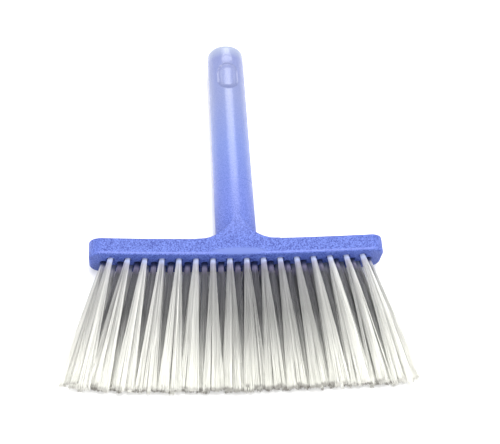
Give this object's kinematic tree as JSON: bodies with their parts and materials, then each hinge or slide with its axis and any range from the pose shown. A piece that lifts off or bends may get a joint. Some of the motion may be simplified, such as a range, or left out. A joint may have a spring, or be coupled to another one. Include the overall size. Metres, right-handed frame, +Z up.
{
  "type": "pool wall brush",
  "caption": "Hand brush with a long bowed block, a round handle in line with the bristles and a wide drooping fan of clear filament tufts.",
  "frame": {"origin": "centre of the whole brush's box, at the bottom, on the surface it lies on", "axes": "+Y from the bristle tips to the handle end, +X along the block, +Z up from the face it lies on"},
  "size_m": [0.2, 0.2254, 0.0244],
  "materials": {
    "blue_plastic": "speckled moulded polypropylene, satin gloss",
    "filament": "clear to silver polyester filaments",
    "anchor_wire": "flat galvanised wire"
  },
  "bodies": {
    "root": {"brush_body": "blue_plastic", "tuft_top_01": "filament", "tuft_top_02": "filament", "tuft_top_03": "filament", "tuft_top_04": "filament", "tuft_top_05": "filament", "tuft_top_06": "filament", "tuft_top_07": "filament", "tuft_top_08": "filament", "tuft_top_09": "filament", "tuft_top_10": "filament", "tuft_top_11": "filament", "tuft_top_12": "filament", "tuft_top_13": "filament", "tuft_top_14": "filament", "tuft_top_15": "filament", "tuft_top_16": "filament", "tuft_middle_01": "filament", "tuft_middle_02": "filament", "tuft_middle_03": "filament", "tuft_middle_04": "filament", "tuft_middle_05": "filament", "tuft_middle_06": "filament", "tuft_middle_07": "filament", "tuft_middle_08": "filament", "tuft_middle_09": "filament", "tuft_middle_10": "filament", "tuft_middle_11": "filament", "tuft_middle_12": "filament", "tuft_middle_13": "filament", "tuft_middle_14": "filament", "tuft_middle_15": "filament", "tuft_middle_16": "filament", "tuft_middle_17": "filament", "tuft_bottom_01": "filament", "tuft_bottom_02": "filament", "tuft_bottom_03": "filament", "tuft_bottom_04": "filament", "tuft_bottom_05": "filament", "tuft_bottom_06": "filament", "tuft_bottom_07": "filament", "tuft_bottom_08": "filament", "tuft_bottom_09": "filament", "tuft_bottom_10": "filament", "tuft_bottom_11": "filament", "tuft_bottom_12": "filament", "tuft_bottom_13": "filament", "tuft_bottom_14": "filament", "tuft_bottom_15": "filament", "tuft_bottom_16": "filament"}
  },
  "joints": []
}
